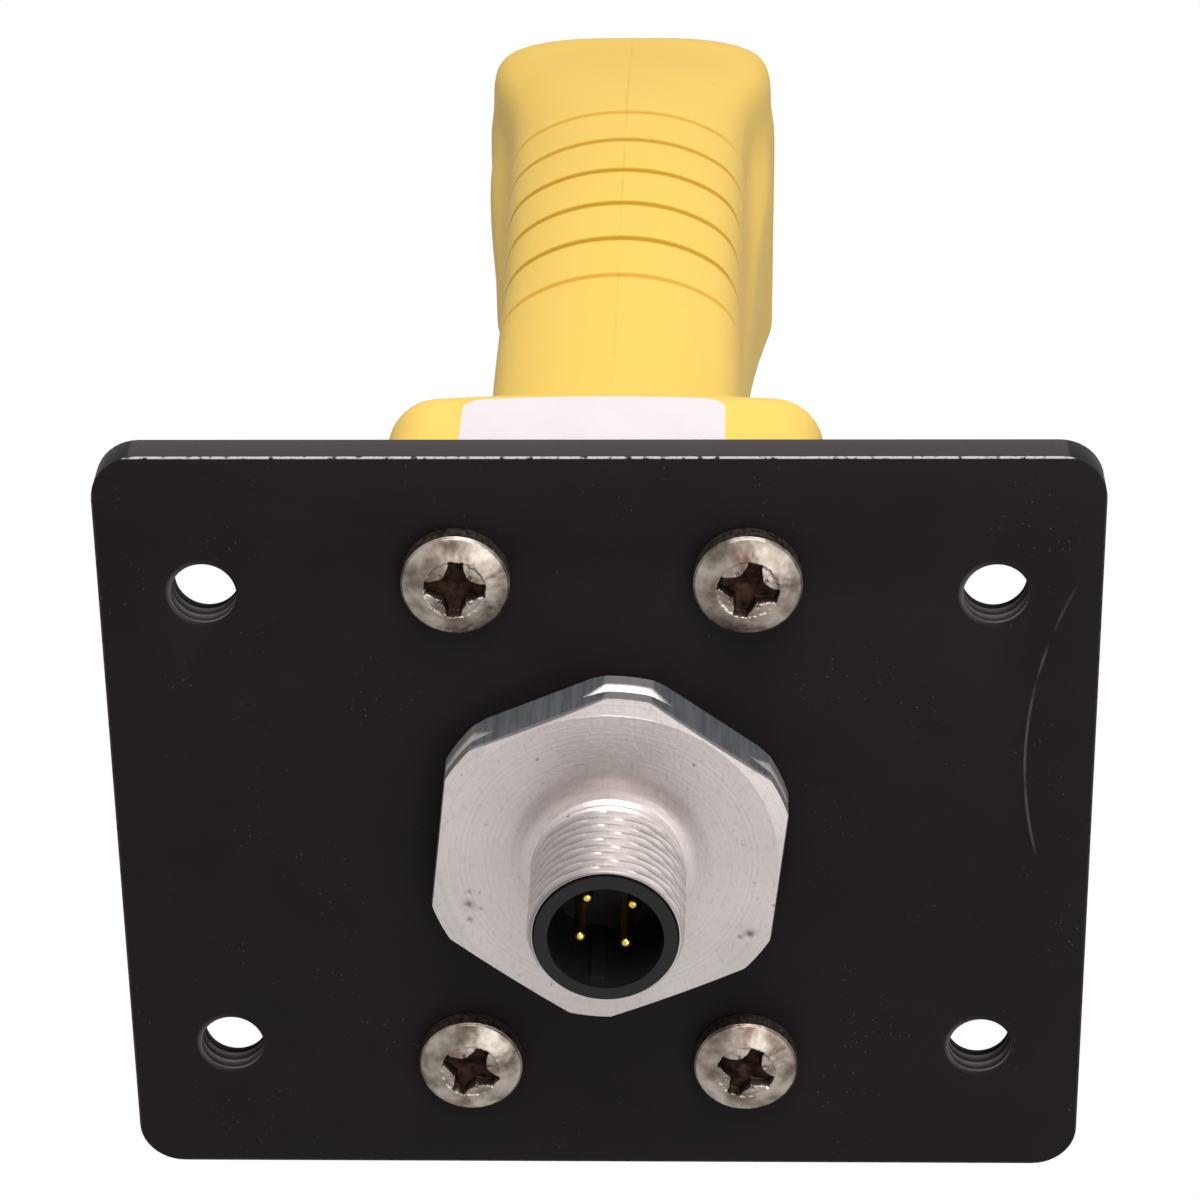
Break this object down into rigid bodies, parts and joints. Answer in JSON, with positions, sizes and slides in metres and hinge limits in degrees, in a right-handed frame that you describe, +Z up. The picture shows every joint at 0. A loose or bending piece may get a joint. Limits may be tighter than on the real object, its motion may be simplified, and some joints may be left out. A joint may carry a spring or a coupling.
{
  "type": "enabling switch",
  "caption": "Hand-held three-position enabling switch: two-shell grip with trigger on a drilled mounting plate, round threaded plug connector underneath.",
  "frame": {"origin": "centre of the four mounting holes, on the underside of the mounting plate", "axes": "+Z up along the grip, +Y towards the palm side, +X towards the left shell; the connector points along -Z"},
  "size_m": [0.076, 0.064, 0.146],
  "materials": {
    "plate_paint": "matt black paint on steel",
    "stainless_steel": "satin",
    "brass": "machined",
    "nickel_plated_metal": "satin nickel",
    "seal_rubber": "matt",
    "insulator_plastic": "matt",
    "gilt_contact": "gilt",
    "yellow_plastic": "fine matt",
    "label_film": "semi-gloss film",
    "trigger_plastic": "fine matt",
    "spring_steel": "bright",
    "switch_plastic": "matt",
    "plunger_plastic": "smooth",
    "contact_alloy": "silver-faced",
    "wire_insulation": "smooth"
  },
  "bodies": {
    "housing": {"mounting_plate": "plate_paint", "base_screws": "stainless_steel", "thread_inserts": "brass", "connector_shell": "nickel_plated_metal", "flange_seal": "seal_rubber", "connector_insert": "insulator_plastic", "contact_pins": "gilt_contact", "lock_washer": "stainless_steel", "connector_nut": "nickel_plated_metal", "base_gasket": "seal_rubber", "left_grip_shell": "yellow_plastic", "right_grip_shell": "yellow_plastic", "shell_screws": "stainless_steel", "type_label": "label_film", "trigger_pin": "stainless_steel", "trigger_spring": "spring_steel", "switch_body": "switch_plastic", "switch_cover": "switch_plastic", "switch_screws": "stainless_steel", "plunger_spring": "spring_steel", "fixed_contacts": "contact_alloy", "signal_wires": "wire_insulation"},
    "trigger_lever": {"trigger": "trigger_plastic"},
    "switch_slider": {"plunger": "plunger_plastic", "contact_bridges": "contact_alloy"}
  },
  "joints": [
    {"name": "trigger_hinge", "type": "hinge", "parent": "housing", "child": "trigger_lever", "pos_m": [-0.00025, -0.009, 0.116], "axis": [1, 0, 0], "range_deg": [0, 7], "stiffness_Nm_per_rad": 0.6, "springref_deg": -5.73, "deforming": ["trigger_spring"]},
    {"name": "plunger_slide", "type": "slide", "parent": "housing", "child": "switch_slider", "axis": [0, 1, 0], "range_m": [0, 0.00525], "deforming": ["plunger_spring"]}
  ],
  "couplings": [
    {"joint": "plunger_slide", "follows": "trigger_hinge", "m_per_rad": 0.043}
  ]
}
